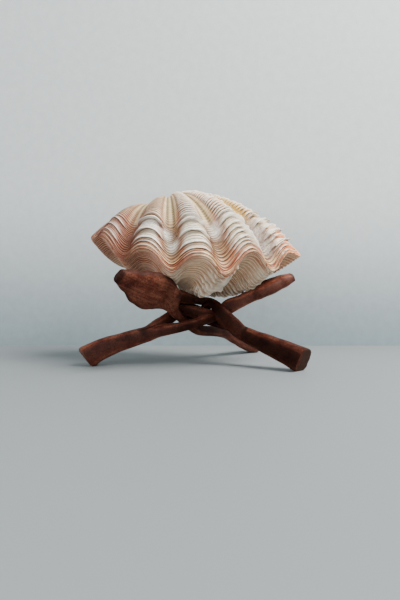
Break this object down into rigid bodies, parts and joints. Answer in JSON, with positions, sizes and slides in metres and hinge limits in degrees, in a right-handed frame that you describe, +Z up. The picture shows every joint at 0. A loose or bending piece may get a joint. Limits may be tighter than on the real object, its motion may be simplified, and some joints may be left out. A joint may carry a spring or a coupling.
{
  "type": "giant clam shell on a wooden stand",
  "caption": "Closed fluted clam shell, both valves, lying on an interlocked carved wooden tripod stand for display.",
  "frame": {"origin": "on the surface that the feet stand on, under the middle of the object's box", "axes": "+Z up, +X along the shell's length towards its right tip, +Y from the fluted margin towards the hinge"},
  "size_m": [0.1488, 0.1172, 0.1216],
  "materials": {
    "shell": "satin",
    "wood": "satin"
  },
  "bodies": {
    "root": {"upper_valve": "shell", "lower_valve": "shell", "left_leg": "wood", "right_leg": "wood", "back_leg": "wood"}
  },
  "joints": []
}
